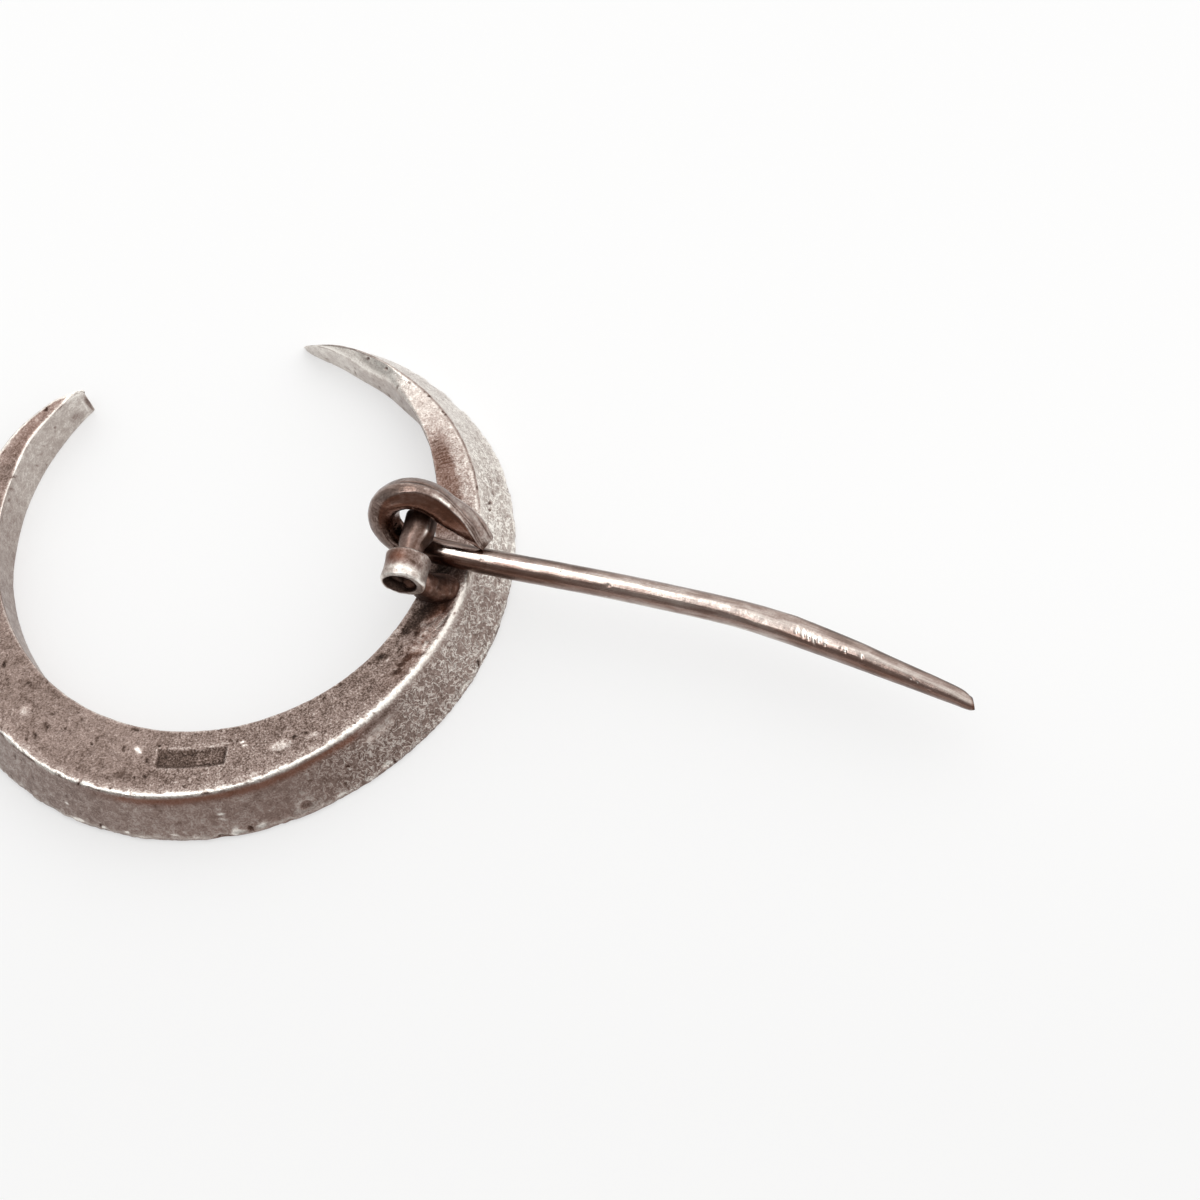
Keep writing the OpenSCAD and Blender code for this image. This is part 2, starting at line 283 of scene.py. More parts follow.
# Marks on the band. Each row is the angle, the distance outwards from the ridge, half the
# length, half the width, the turn in degrees, the crispness of its border, its depth, and how much lighter it is.
MARKS = [
    (-10, -2.1, 0.13, 0.1, 20, 3, 0.01, 0.35), (-9, -2, 0.06, 0.1, 50, 3, 0, 0.3),
    (17.5, -1.97, 0.14, 0.05, 5, 4, 0, 0.38), (17.9, -1.76, 0.13, 0.05, -5, 4, 0, 0.34),
    (26.2, -1.13, 0.5, 0.24, 8, 6, 0.035, 0.15), (34.2, -0.84, 0.34, 0.11, 10, 4, 0.02, 0.16),
    (57.4, -0.66, 0.2, 0.14, 20, 8, -0.012, -0.28), (59.4, -0.74, 0.2, 0.1, 50, 8, -0.012, -0.26),
    (61.3, -0.72, 0.27, 0.16, 8, 8, -0.012, -0.3), (74, -1, 0.5, 0.42, 0, 6, -0.03, -0.26),
    (70.6, -1.46, 0.85, 0.28, 10, 8, 0.02, -0.24), (68.6, -0.55, 1.15, 0.34, 4, 6, 0.01, 0.13),
    (-30.5, -1.91, 0.06, 0.05, 0, 3, 0.05, -0.4), (-35.7, -0.9, 0.1, 0.08, 0, 3, 0.04, -0.25),
    (-22, -1.78, 0.06, 0.05, 0, 3, 0.05, -0.4), (-21.5, -2.05, 0.06, 0.05, 0, 3, 0.05, -0.35),
    (-13.7, -2.05, 0.07, 0.06, 0, 3, 0.05, -0.4), (-13.2, -1.87, 0.05, 0.04, 0, 3, 0.04, -0.4),
    (-12.7, -3, 0.16, 0.07, 0, 3, 0.05, -0.35), (-4.5, -2.33, 0.08, 0.05, 0, 3, 0.04, -0.35),
    (-8.2, -0.83, 0.04, 0.05, 0, 3, 0.04, -0.4), (-11.2, -0.84, 0.36, 0.2, 5, 8, 0.015, -0.09),
    (-19.5, -0.04, 0.05, 0.16, 15, 3, 0.09, -0.6), (-42, -1.3, 0.3, 0.22, 10, 3, 0.03, 0.12),
    (150, -0.23, 0.06, 0.11, 20, 3, 0.06, -0.45), (144.5, -0.23, 0.07, 0.1, 10, 3, 0.06, -0.45),
    (139, -0.66, 0.05, 0.09, 0, 3, 0.04, -0.35), (131.2, 0.03, 0.06, 0.1, 0, 3, 0.06, -0.5),
    (14.5, 2.25, 0.14, 0.15, 0, 4, 0.11, -0.4), (12.6, 2.25, 0.3, 0.1, 8, 3, 0.04, 0.18),
    (16.8, 2.2, 0.22, 0.12, -8, 3, 0.03, 0.28), (26, 2, 0.46, 0.32, -4, 3, 0, 0.15),
    (26, 2, 0.28, 0.19, -4, 6, 0.08, -0.36), (43.2, 2.33, 0.26, 0.18, 0, 4, 0.13, 0.2),
    (44.7, 2.38, 0.05, 0.14, 10, 3, 0.06, -0.5), (36.7, 1.3, 0.11, 0.05, 30, 3, 0.05, -0.45),
    (36.9, 1.5, 0.14, 0.04, 35, 3, 0, 0.25), (46.8, 0.6, 1.2, 0.34, -3, 6, 0.07, -0.02),
    # Rows near 46.8 degrees paint the dent's shading: a shaded line on its side towards the ridge and a lit side
    # towards the rim. The row at 86 degrees is a painted shadow under the pin's stem.
    (46.8, 0.45, 1.1, 0.13, -3, 4, 0.02, -0.13), (46.3, 0.78, 0.95, 0.18, -3, 5, 0.04, 0.05),
    (46.8, 0.95, 1.05, 0.05, -3, 3, 0, 0.05), (86, -1.2, 0.6, 0.34, 0, 4, 0.02, -0.34),
    (72.4, -0.3, 0.5, 0.09, 12, 4, 0.015, 0.2), (76, -0.62, 0.34, 0.12, -18, 4, 0.03, -0.24),
    (66, -0.42, 0.42, 0.08, -8, 4, 0, 0.18), (69.5, 2.36, 0.06, 0.2, 20, 3, 0.13, -0.6),
    (70.8, 2.3, 0.09, 0.12, 20, 3, 0, 0.32), (9, 2.45, 0.4, 0.14, 0, 4, 0.11, -0.05),
    (11.5, 2.2, 0.14, 0.3, 25, 3, 0, 0.24), (-20.5, 2.18, 0.28, 0.09, -5, 3, 0.03, 0.34),
    (-15.5, 2.08, 0.05, 0.1, 20, 3, 0.07, -0.45), (-15, 2.14, 0.1, 0.07, 0, 3, 0, 0.34),
    (-10, 2.16, 0.13, 0.06, 0, 3, 0.02, 0.36), (-0.2, 2.05, 0.17, 0.06, 0, 3, 0, 0.28),
    (10, 1.2, 0.16, 0.06, 10, 3, 0.01, 0.3), (10.2, 1.48, 0.15, 0.05, 15, 3, 0, 0.22),
    (-23, 1.47, 0.1, 0.06, 0, 3, 0, 0.28), (107.7, 2.3, 0.12, 0.16, 0, 4, 0.12, -0.3),
    (-33.7, 2.4, 0.22, 0.14, 0, 4, 0.08, 0.05), (102.3, 0.75, 0.12, 0.06, 60, 3, 0.06, -0.55),
    (100.6, 0.72, 0.11, 0.07, 70, 3, 0.06, -0.5), (101.5, 0.56, 0.05, 0.05, 0, 3, 0.05, -0.4),
    (-129.7, -0.12, 0.09, 0.13, 0, 3, 0.06, -0.45), (-135.6, 0.04, 0.36, 0.15, 0, 4, 0, 0.35),
    (-138.5, -1.25, 0.09, 0.62, 0, 6, 0.03, -0.3), (-137.4, -1.25, 0.05, 0.66, 0, 4, 0, 0.07),
    (-112, -1.3, 0.3, 0.04, 55, 3, 0.03, -0.3), (-109, -1.5, 0.16, 0.04, 60, 3, 0.03, -0.3),
    (-106, -1.65, 0.12, 0.05, 20, 3, 0.03, -0.28), (-128.5, -1.45, 0.16, 0.04, -50, 3, 0.03, -0.25),
    (-134.5, -1.7, 0.4, 0.3, 30, 3, 0.02, -0.14), (63.5, 2.4, 0.3, 0.16, 0, 4, 0.09, 0.05),
    (55, 2.4, 0.16, 0.12, 0, 4, 0.06, -0.05), (33, 2.4, 0.24, 0.14, 0, 4, 0.07, 0.18),
    (37.5, 2.42, 0.12, 0.12, 0, 4, 0.08, -0.1), (79, 2.38, 0.12, 0.14, 0, 4, 0.06, 0.1),
    (89, 2.36, 0.14, 0.1, 0, 4, 0.06, -0.05), (-27, 2.4, 0.2, 0.12, 0, 4, 0.06, 0.1),
]
# How many times its tone a lighter mark and a darker one get.
LIGHTER_MARKS, DARKER_MARKS = 1.9, 1.3
# The smooth dent and the bare place of the stamp: angle, distance outwards, half length, half width and turn.
DENT = (46.8, 0.62, 1.15, 0.42, -3)
STAMP, STAMP_DEEP, STAMP_SPAN = (4.4, -1.69, 1.46, 0.4, 3.3), 0.07, 16
# File strokes in a row: the first one's angle and place, and how far the next one lies from it.
FILE_STROKES, FILE_AT, FILE_NEXT = 9, (112.4, -1.12), (0.95, 0.04)
# Pits of the back and of the outer facet: how many, the ranges of their angle, place and size, how many times longer
# than wide they are at most, and the ranges of their depth and tone.
BAND_PITS = [(210, (-62, 75), (-3.0, -0.25), (0.03, 0.075), 2.2, (0.008, 0.03), (-0.32, 0.14)),
    (260, (-70, 150), (0.25, 2.2), (0.03, 0.07), 2.6, (0.006, 0.03), (-0.25, 0.2))]
# Each row is how many, the range of their angle, and the rest of a mark. A range is drawn for each mark in turn, or
# for all of them beforehand if it is a list.
SCATTERED = [
    (60, (-130, 160), 2.42, (0.06, 0.26), (0.05, 0.13), 0, 3, (0.02, 0.09), (-0.2, 0.3)),  # rim's knocks
    (34, (57, 86), [-1.9, -0.25], (0.08, 0.3), (0.05, 0.14), (-60, 60), 5, (0.005, 0.03), (-0.3, 0.24)),  # solder
    (46, (-60, 150), (-0.18, 0.02), (0.03, 0.08), (0.03, 0.07), 0, 3, (0.01, 0.03), (-0.5, -0.1)),  # ridge's knocks
    (9, (104, 122), (0.8, 1.7), (0.4, 0.9), 0.035, (-6, 6), 3, 0.018, -0.16),  # file lines
    (24, (135, 166), (-2.6, -1.0), (0.06, 0.16), 0.05, (-90, 90), 3, 0.03, (-0.3, -0.1)),  # pits of the round horn
    (16, (-136, -100), (-2.9, -1.5), (0.1, 0.24), 0.03, (35, 60), 3, 0.02, (-0.25, 0.1)),  # scratches of the left wall
]


def in_mark(places, rings, angle, across, long, wide, turn):
    """A mark's own two coordinates at the given rings, each 1 at the mark's border."""
    u = np.radians(places["deg"][rings] - angle) * places["radius"][rings]
    v = places["across"][rings] - across
    c, s = cos(radians(turn)), sin(radians(turn))
    return (u * c + v * s) / long, (v * c - u * s) / wide


def press(places, relief, tone, angle, across, long, wide, turn, crisp, deep, lighter):
    """Presses one mark into the relief and the tone."""
    rings = np.abs(places["deg"][:, 0] - angle) < np.degrees(3 * max(long, wide) / 9) + 0.6
    u, v = in_mark(places, rings, angle, across, long, wide, turn)
    share = np.exp(-(u * u + v * v) ** (crisp / 2))
    relief[rings] -= deep * share
    tone[rings] += lighter * share


def band_marks(places, relief, tone):
    """Presses in the marks of the table, seeded small ones and the bare place of the stamp."""
    skin = places, relief, tone
    for *mark, lighter in MARKS:
        press(*skin, *mark, (LIGHTER_MARKS if lighter > 0 else DARKER_MARKS) * lighter)
    for k in range(FILE_STROKES):
        press(*skin, FILE_AT[0] + FILE_NEXT[0] * k, FILE_AT[1] + FILE_NEXT[1] * (k % 3), 0.05, 0.36, 10, 4, 0.022, -0.2)
    rng = np.random.default_rng(12)
    draw = rng.uniform
    for count, degs, acrosses, sizes, longest, deep, lighter in BAND_PITS:
        for deg, across in zip(draw(*degs, count), draw(*acrosses, count)):
            size = draw(*sizes)
            press(*skin, deg, across, size * draw(1, longest), size, draw(-90, 90), 3, draw(*deep), draw(*lighter))
    for count, degs, across, *others in SCATTERED:
        degs = draw(*degs, count)
        acrosses = draw(*across, count) if isinstance(across, list) else [across] * count
        for deg, across in zip(degs, acrosses):
            press(*skin, deg, *(draw(*v) if isinstance(v, tuple) else v for v in (across, *others)))

    # The place of the stamp is a bare sunk panel with a slightly raised edge.
    rings = np.abs(places["deg"][:, 0] - STAMP[0]) < STAMP_SPAN
    u, v = in_mark(places, rings, *STAMP)
    inside = np.minimum((1 - np.abs(u)) * STAMP[2], (1 - np.abs(v)) * STAMP[3])
    sunk = rise(inside, -0.05, 0.05)
    relief[rings] -= STAMP_DEEP * sunk - 0.012 * hump(inside, -0.09, 0.06)
    tone[rings] += 0.13 * hump(inside, -0.08, 0.05) - 0.17 * sunk - 0.1 * hump(inside, 0.06, 0.07)


# Each face's tone, with its humps and steps round the crescent: partly tarnish and wear, and partly painted reflection
# of the bright room, lighter on the faces that turn to the right.
BACK_TONE = 0.412, [(-0.01, 48, 14), (0.04, 68, 9)], [(0.215, 62, 112), (0.3, 118, 150), (-0.03, -15, -40)]
OUTER_TONE = (0.505, [(0.02, 45, 13), (0.1, 72, 14), (0.03, 3, 14)],
    [(0.35, 76, 97), (0.04, -15, -50), (-0.03, 118, 150)])
INNER_TONE = (0.55, [], [(0.1, -70, -112), (0.05, -120, -134), (0.16, 118, 150), (0.07, -92, -112),
    (0.14, 148, 158)])
FRONT_TONE, RUBBED_TONE = 0.55, 1.02
# How the rubbed ridge's width and brightness change round the crescent.
RUB_WIDE = [(0.07, 62, 22)], [(-0.02, -60, -110)]
RUB_BRIGHT = [], [(-0.5, 88, 108), (0.1, 120, 150)]


def band_tone(places, grain, wave, streak):
    """How light the silver is, from 0 where it is black with tarnish to 1 where it is bright, with painted light and
    shade among it, and how red it is.
    """
    deg, across, wall = places["deg"], places["across"], places["wall"]
    back = rise(across, 0, -0.12) * rise(across, wall - 0.06, wall + 0.06)
    inside = 1 - rise(across, wall - 0.1, wall + 0.02)
    outside = rise(across, 0, 0.12)
    back_tone, outer_tone, inner_tone = (mean + local(deg, humps, steps)
        for mean, humps, steps in (BACK_TONE, OUTER_TONE, INNER_TONE))

    # Both sides of the hinge are darker: painted shadow under the pin's stem and behind the eye, together with tarnish
    # from the heat of soldering.
    back_tone -= 0.12 * hump(deg, 87, 9) * (across < -0.3) + 0.13 * hump(deg, 83, 4) * rise(across, -0.2, -0.5)
    shadow_and_stain = rise(-across / np.maximum(-wall, 0.3) + 0.14 * grain, 0.32, 0.52)
    shadow_and_stain *= rise(deg, 92, 97) * (1 - rise(deg, 114, 126))
    back_tone -= 0.27 * shadow_and_stain
    tone = back * back_tone + outside * outer_tone + inside * inner_tone
    tone = np.where(across < wall - WALL_TOP, FRONT_TONE, tone)

    # The ridge is rubbed bright, and the other edges a little.
    rub = 0.11 + 0.05 * streak + local(deg, *RUB_WIDE)
    ridge = np.exp(-(np.abs(across + 0.03 + 0.06 * grain) / rub) ** 3)
    whole = (1 + local(deg, *RUB_BRIGHT)) * (1 - 0.4 * rise(grain, 0.4, 0.8))
    tone += (RUBBED_TONE - tone) * ridge * whole
    tone += 0.12 * hump(across, -0.28, 0.16) * rise(deg, 75, 30)
    tone += (0.32 + 0.14 * streak) * hump(across, wall + 0.02, 0.06)
    tone += (0.4 + 0.35 * streak) * hump(across, wall + 0.05, 0.1) * rise(deg, -88, -112)
    tone += (0.12 + 0.25 * np.maximum(streak, 0)) * hump(across, places["rim"] - 0.03, 0.12)
    tone += 0.05 * wave + 0.055 * grain

    # Red tarnish lies in the shelter below the ridge, beside the hinge and on the left horn.
    below = hump(across, 0.28 + 0.1 * wave, 0.2) * rise(across, 0.1, 0.2)
    below *= rise(deg, -22, -4) * (1 - rise(deg, 38, 47))
    tone -= 0.13 * below
    red = below * (0.9 + 0.5 * grain) + 0.7 * hump(deg, 72, 12) * hump(across, -0.5, 0.45)
    red += 0.4 * shadow_and_stain * back + 0.25 * outside * hump(deg, 15, 32)
    red += (0.2 + 0.3 * wave) * back * rise(deg, -96, -112)
    return tone, red


def make_band():
    """The crescent's faceted band, with its marks, chips and etched skin."""
    deg = crescent_angles()
    corners, narrow = crescent_corners(deg)
    uneven = rough(np.stack([deg / 4.5, 0 * deg, 0 * deg], axis=1), 1.3, 11)
    worn = np.stack([reach + ragged * uneven for reach, ragged in CORNERS_WORN], axis=1)
    worn[:, 1] += local(deg, steps=WALL_WORN)
    section = rounded_section(corners, worn * narrow[:, None], EDGE_STEPS, ARC_STEPS)
    phi = np.radians(deg)[:, None]
    radius, height = section[..., 0], section[..., 1]
    grid = np.stack([radius * np.sin(phi), -radius * np.cos(phi), height], axis=2) + ORIGIN
    normal = grid_normals(grid)

    places = shape_places(deg, section)
    angle, across, wall = places["deg"], places["across"], places["wall"]
    wave, lump, grain = rough(grid, 2.4, 3, 2), rough(grid, 0.8, 4, 2), rough(grid, 0.34, 5)
    worm = rough(grid, 0.3, 6, 2)
    laid = np.stack([np.radians(angle) * LAID_R, across, 0 * across], axis=2)
    streak = rough(laid * [1, 2.5, 1], 1.1, 8)

    # The etched skin is curly on the outer facet's right and grainy on the back, and the dent is smooth.
    u, v = in_mark(places, slice(None), *DENT)
    dent, on_outer = np.exp(-(u * u + v * v) ** 3), rise(across, 0, 0.15)
    on_back = rise(across, 0, -0.15) * rise(across, wall - 0.05, wall + 0.1)
    coarse = rise(angle, 15, 45) * (0.35 + 0.65 * rise(across, 0.2, 0.5))
    coarse = np.maximum(coarse, 0.3) * (1 - 0.8 * dent) * (1 - 0.65 * rise(angle, 102, 128))
    grainy = on_back * (0.35 + local(angle, steps=[(0.55, -14, 4), (-0.2, 45, 60), (-0.4, 112, 135)]))
    grainy += on_outer * (0.1 + 0.3 * rise(angle, 18, 42))
    grainy = (grainy - 0.3) * (1 - 0.6 * dent)

    relief = 0.016 * wave + 0.009 * lump + 0.006 * grain - 0.014 * coarse * np.exp(-(worm / 0.16) ** 2)
    chips = rough(laid * [1, 0.25, 1], 0.7, 14, 2) + 0.6 * rough(laid * [1, 0.4, 1], 0.22, 15, 2)
    at_rim = hump(across, places["rim"], 0.22) * rise(across, 0.5, 1.5)
    relief -= 0.1 * at_rim * np.maximum(chips - 0.05, -0.2)
    tone, red = band_tone(places, grain, wave, streak)
    tone += 0.3 * at_rim * np.maximum(chips - 0.3, 0)
    band_marks(places, relief, tone)
    relief = relief * narrow[:, None] ** 2 - SKIN_IN
    grid = grid + normal * relief[..., None]
    grid[..., 2] = np.maximum(grid[..., 2], 0)

    # The cut end is closed by rings that run in to its middle, which is a little sunk.
    middle = grid[0].mean(axis=0)
    inward = grid[len(EDGE_RINGS)].mean(axis=0) - middle
    inward /= np.linalg.norm(inward)
    cap = [middle + (grid[0] - middle) * share + inward * CAP_SUNK * (1 - share) for share in CAP_SHARES]
    cap_tone = [level + 0 * tone[0] for level in CAP_TONES]
    red, laid, coarse, grainy = (np.concatenate([np.repeat(field[:1], len(cap), axis=0), field])
        for field in (red, laid, coarse, grainy))
    return bar("band", np.concatenate([cap, grid]), np.concatenate([cap_tone, tone]), red, laid=laid, coarse=coarse,
        grainy=grainy)


def turned(points, turn, at):
    """Takes points from a frame that is turned and lies elsewhere to the part's frame."""
    x, y, z = np.moveaxis(np.asarray(points, float), -1, 0)
    c, s = cos(turn), sin(turn)
    return np.stack([x * c - y * s, x * s + y * c, z], axis=-1) + at


def hinge_place(points):
    """Takes points in the hinge's own frame, across, along and up, to the part's frame."""
    return turned(points, HINGE_TURN, HINGE_AT)


def spun(name, profile):
    """A closed outline of radius and height, turned about the hinge's axis."""
    bm = bmesh.new()
    verts = [bm.verts.new((r, y, 0)) for r, y in profile]
    edges = [bm.edges.new((a, b)) for a, b in zip(verts, verts[1:] + verts[:1])]
    bmesh.ops.spin(bm, geom=verts + edges, axis=(0, 1, 0), angle=2 * pi, steps=SPUN_STEPS, use_merge=True)
    bmesh.ops.remove_doubles(bm, verts=bm.verts, dist=1e-5)
    return new_piece(name, bm)


def lay_on_hinge(piece, points, tone, red):
    """Finishes a turned piece whose points are in the hinge's frame."""
    x, y, z = points.T
    turn = np.arctan2(x, z)
    return finished(piece, hinge_place(points), tone, red, laid=np.stack([turn * np.hypot(x, z), y, 0 * turn], axis=1))


def arc_points(cx, cy, r, start, end, steps):
    return [(cx + r * cos(radians(a)), cy + r * sin(radians(a))) for a in np.linspace(start, end, steps)]


def straight(a, b, steps):
    """Points from a towards b, without b."""
    return [(a[0] + (b[0] - a[0]) * i / steps, a[1] + (b[1] - a[1]) * i / steps) for i in range(steps)]


SPUN_STEPS = 120
SIDEWAYS = np.array([1, 0, 1])  # as a swelling's power: only out from the axis


def make_barrel():
    """The hammered tube of the hinge, with a bright rubbed rim round its hollow end, a painted highlight across it and
    painted shade in its hollow.
    """
    low, high, edge, bore_edge = -BARREL_L, 0, BARREL_EDGE, BORE_EDGE
    bore, cup_end = BARREL_BORE_R, low + BARREL_CUP
    piece = spun("hinge_barrel", arc_points(BARREL_R - edge, low + edge, edge, -90, 0, 6)
        + straight((BARREL_R, low + edge), (BARREL_R, high - edge), 22)[1:]
        + arc_points(BARREL_R - edge, high - edge, edge, 0, 90, 6)
        + straight((BARREL_R - edge, high), (bore + bore_edge, high), 4)[1:]
        + [(bore + bore_edge, high), (bore, high - bore_edge), (bore, cup_end)]
        + straight((BARREL_CUP_R - 0.04, cup_end), (BARREL_CUP_R, low + 0.08), 6)
        + arc_points(BARREL_CUP_R + bore_edge, low + bore_edge, bore_edge, 180, 260, 4))
    co = points_of(piece)
    x, y, z = co.T
    lump, fine = rough(co, 0.75, 21, 2), rough(co, 0.2, 22)
    out, turn, share = np.hypot(x, z), np.degrees(np.arctan2(x, z)), (y + BARREL_L) / BARREL_L
    outer = rise(out, BARREL_CUP_R + 0.05, BARREL_R - 0.05)
    swell = 1 + outer * (0.022 * lump + 0.006 * fine - 0.035 * hump(turn, 62, 30) * hump(share, 0.75, 0.3))
    swell -= outer * 0.03 * hump(share, 0.52, 0.3)
    points = co * swell[:, None] ** SIDEWAYS

    # The hollow's mouth is off centre and a little ragged.
    rim = hump(y, low, 0.14) * outer
    mouth = rise(y, low + 0.3, low) * (1 - outer)
    points[:, 0] -= 0.09 * mouth
    points[:, 2] += mouth * (0.03 + 0.05 * rough(co, 0.4, 23, 2))
    points[:, 1] += rim * 0.05 * rough(co, 0.5, 24, 2)

    # A painted highlight runs across the tube near its hollow end and onto one side, and the hollow inside is painted
    # dark as shade.
    tone = 0.535 + 0.2 * lump + 0.14 * fine + 0.42 * rim + 0.42 * hump(share, 0.26, 0.15) * hump(turn, 14, 56)
    tone += 0.42 * hump(share, 1.0, 0.055) * outer + 0.25 * hump(turn, 68, 14) * hump(share, 0.25, 0.35)
    tone -= 0.17 * hump(share, 0.68, 0.2) * hump(turn, -18, 40) + 0.3 * hump(share, 0.55, 0.07) * hump(turn, 30, 6)
    cup = (out < BARREL_CUP_R + 0.03) & (y < cup_end + 0.02)
    tone = np.where(cup, 0.07 + 0.05 * fine, tone)
    return lay_on_hinge(piece, points, tone, 0.85 * hump(share, 0.68, 0.24) * hump(turn, -22, 34) + 0.1)


def make_rivet():
    """The rivet with its domed far end, with a painted highlight on its burr and painted shade on its head and on the
    side beyond the burr.
    """
    low, neck = -BARREL_L + BARREL_CUP, 0.1
    piece = spun("rivet", [(0, low), (RIVET_R * 0.5, low), (RIVET_R - 0.05, low), (RIVET_R, low + 0.05)]
        + straight((RIVET_R, low + 0.1), (RIVET_R, neck), 12)
        + [(RIVET_R + (HEAD_R - RIVET_R) * rise(y, 0.2, 1.1), y) for y in np.linspace(neck, HEAD_AT, 24)[:-1]]
        + [(HEAD_R * cos(a), HEAD_AT + (RIVET_OUT - HEAD_AT) * sin(a)) for a in np.linspace(0, 1.45, 12)]
        + [(0, RIVET_OUT)])
    co = points_of(piece)
    x, y, z = co.T
    lump, fine = rough(co, 0.5, 31, 2), rough(co, 0.15, 32)
    turn = np.degrees(np.arctan2(x, z))

    # The peened head is lopsided, with a flat on one side and a burr that runs up to it on the other; the burr carries
    # a painted highlight, and the side beyond it and the head are painted dark as shade.
    flat = hump(turn, -28, 16) * rise(y, 0.1, 0.6)
    burr_and_glint = hump(turn, 47, 5) * rise(y, 0.65, 1.0) * (1 - rise(y, 1.75, 1.95))
    shaded_side = rise(turn, 53, 61) * (1 - rise(turn, 150, 170)) * rise(y, 0.25, 0.6)
    swell = 1 + 0.01 * lump + 0.008 * fine - 0.06 * flat + 0.02 * burr_and_glint - 0.01 * shaded_side
    points = co * swell[:, None] ** SIDEWAYS
    points[:, 0] += HEAD_SHIFT * rise(y, 0.5, 1.15)
    tone = 0.4 + 0.1 * lump + 0.12 * fine + 0.55 * burr_and_glint - 0.14 * hump(turn, 31, 8) - 0.38 * shaded_side
    tone -= 0.34 * rise(y, 1.3, 1.62)
    tone = np.where(y < low + 0.1, 0.06, tone)
    return lay_on_hinge(piece, points, tone, 0.25 + 0.2 * lump)


def smooth_path(rows, steps):
    """Points of a smooth curve through rows of numbers."""
    rows = np.asarray(rows, float)
    ends = np.concatenate([rows[:1], rows, rows[-1:]])
    out = []
    for i in range(len(rows) - 1):
        a, b, c, d = ends[i:i + 4]
        for t in np.arange(steps) / steps:
            out.append(b + (c - a) * t / 2 + (2 * a - 5 * b + 4 * c - d) * t ** 2 / 2
                + (3 * b - a - 3 * c + d) * t ** 3 / 2)
    return np.array(out + [rows[-1]])


def even(path, count):
    """The same path with its points evenly spaced, and how far along it each is."""
    gaps = np.linalg.norm(np.diff(path[:, :3], axis=0), axis=1)
    s = np.concatenate([[0], np.cumsum(gaps)])
    want = np.linspace(0, s[-1], count)
    return np.stack([np.interp(want, s, path[:, k]) for k in range(path.shape[1])], axis=1), want


def calmed(path, reach):
    """The same path with its kinks smoothed over a few points, and its ends kept."""
    span = 3 * reach
    weights = hump(np.arange(-span, span + 1), 0, reach)
    longer = np.concatenate([2 * path[0] - path[span:0:-1], path, 2 * path[-1] - path[-2:-span - 2:-1]])
    return np.stack([np.convolve(column, weights / weights.sum(), "valid") for column in longer.T], axis=1)


def sweep_frames(path, up):
    """Two directions square to the path at each point, carried along it without twist."""
    run = np.gradient(path, axis=0)
    run /= np.linalg.norm(run, axis=1, keepdims=True)
    side = np.zeros_like(path)
    current = np.asarray(up, float)
    for i, d in enumerate(run):
        current = current - d * (current @ d)
        current /= np.linalg.norm(current)
        side[i] = current
    return side, np.cross(run, side)


def squarish(turn, power):
    """Points of a circle, pushed out towards a square where the power is less than 1."""
    c, s = np.cos(turn), np.sin(turn)
    return np.sign(c) * np.abs(c) ** power, np.sign(s) * np.abs(s) ** power


PIN_RINGS, PIN_SIDES = 760, 96
WIRE_R = 0.56
STEM_Z = -EYE_R * cos(EYE_LEAN)
CALMED_RINGS, CALMED_OVER = 300, 8
TIP_SLANT = 0.55  # of the cut across the tip
# Each row is across the hinge's axis, along it, up, the wire's half width, half thickness, squareness and twist.
TAIL_ROWS = [(2.9, 1.42, -0.87, 0.38, 0.16, 1.0, 55), (2.84, 1.45, -0.78, 0.43, 0.23, 1.0, 52),
    (2.25, 1.74, -0.03, 0.6, 0.44, 0.9, 24), (1.72, 1.9, 0.42, 0.65, 0.54, 0.8, 6)]
# Each row is the angle round the eye, the wire's half width, half thickness and squareness.
EYE_ROWS = [(30, 0.66, 0.58, 0.7), (60, 0.66, 0.62, 0.5), (180, 0.64, 0.6, 0.4), (270, 0.58, 0.56, 0.1)]
# Each row of the stem is across the hinge's axis, along it, half width, half thickness and squareness.
STEM_ROWS = [(0.9, 1.1, WIRE_R, WIRE_R, 0), (3.5, 0.77, WIRE_R, WIRE_R, 0), (8.35, 0.25, WIRE_R, WIRE_R, 0),
    (13.15, -0.4, 0.57, 0.55, 0), (15.6, -0.91, 0.585, 0.5, 0.3), (16.55, -1.17, 0.575, 0.5, 0.3),
    (18.6, -1.8, 0.53, 0.53, 0.1), (20, -2.27, 0.48, 0.48, 0), (22.5, -3.1, 0.37, 0.37, 0.2),
    (23.28, -3.41, 0.3, 0.29, 0.2), (23.48, -3.47, 0.26, 0.24, 0.1), (23.56, -3.49, 0.22, 0.19, 0)]
# Each row is the angle round the wire, and where the groove starts and stops from the flattened end.
EYE_GROOVES = [(118, 0.0, 3.3), (103, 0.5, 4.8), (136, 0.2, 1.9), (78, 0.0, 1.6)]
# Each row is a pit's distance from the flattened end, and its size.
WIRE_PITS = [(13.4, 0.06), (13.9, 0.05), (12.0, 0.05)]
# Each row is the distance from the tip, the angle round the wire and the size of a nick.
STEM_NICKS = [(7.6, 254, 0.08), (7.3, 251, 0.11), (7.05, 246, 0.09), (6.8, 240, 0.12), (6.6, 248, 0.07),
    (6.3, 242, 0.06), (5.45, 246, 0.08), (4.75, 247, 0.08), (2.6, 240, 0.05), (2.3, 235, 0.05)]


